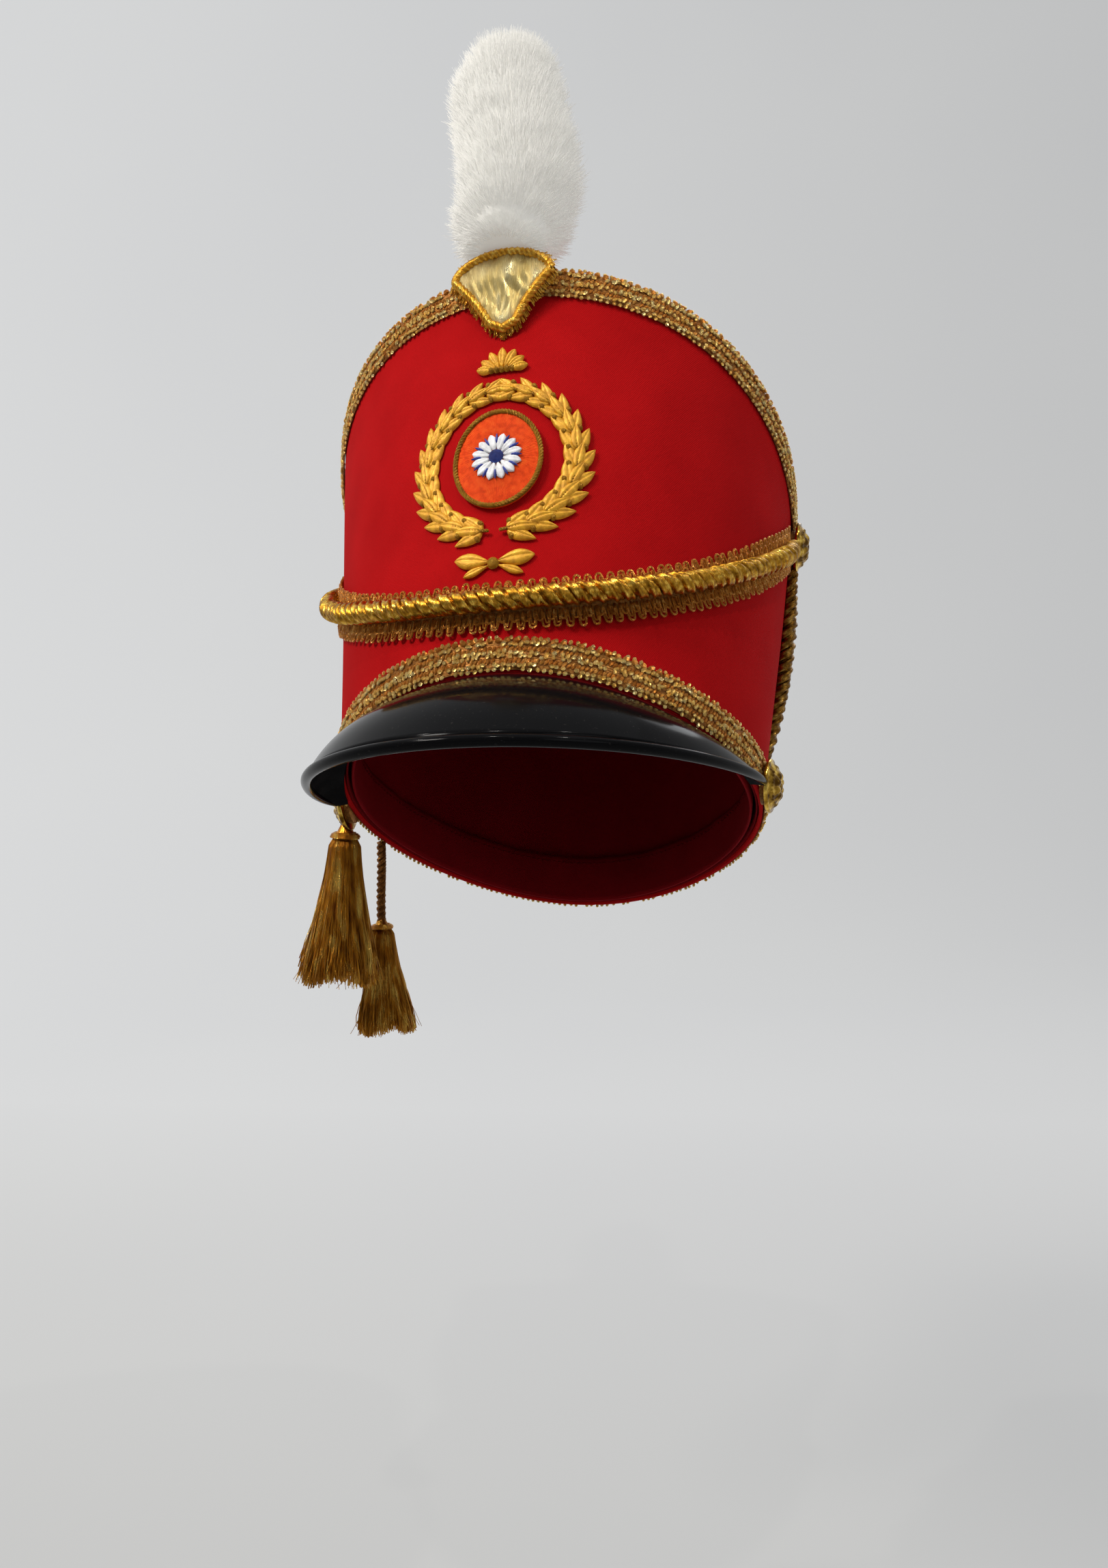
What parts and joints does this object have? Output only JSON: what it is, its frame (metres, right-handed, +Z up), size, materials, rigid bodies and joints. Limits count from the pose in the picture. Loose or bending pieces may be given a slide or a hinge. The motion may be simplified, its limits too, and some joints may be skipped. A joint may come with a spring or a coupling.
{
  "type": "parade shako hat",
  "caption": "Red cloth parade shako with a tall arched front, gold braid, drooping gold cords, black peak, embroidered badge, white plume and gold tassels.",
  "frame": {"origin": "centre of the head opening, on the crown's axis at the height of the rim's sides", "axes": "+Z up as worn, -Y the way the wearer looks, +X the wearer's left; the crown's own axis leans back by 24 degrees"},
  "size_m": [0.2381, 0.2847, 0.4576],
  "materials": {
    "red_cloth": "matt twill",
    "gold_braid": "metallic braid",
    "gold_thread": "metallic thread",
    "gold_metal": "polished",
    "black_gloss": "high gloss",
    "pale_gold": "crinkled metallic cloth",
    "white_feather": "fluffy down",
    "orange_thread": "satin stitch",
    "white_thread": "satin stitch"
  },
  "bodies": {
    "root": {"crown_wall": "red_cloth", "crown_top": "red_cloth", "top_braid": "gold_braid", "rim_braid": "gold_braid", "front_gimp": "gold_thread", "front_cord": "gold_thread", "back_cord": "gold_thread", "button_upper_left": "gold_metal", "button_upper_right": "gold_metal", "button_lower_left": "gold_metal", "button_lower_right": "gold_metal", "peak": "black_gloss", "cockade": "pale_gold", "cockade_cord": "gold_thread", "plume": "white_feather", "badge_wreath": "gold_thread", "badge_medallion": "orange_thread", "badge_rosette": "white_thread", "badge_crest": "gold_thread", "badge_bow": "gold_thread", "tassel_front": "gold_thread", "tassel_rear": "gold_thread", "tassel_cord_rear": "gold_thread"}
  },
  "joints": []
}
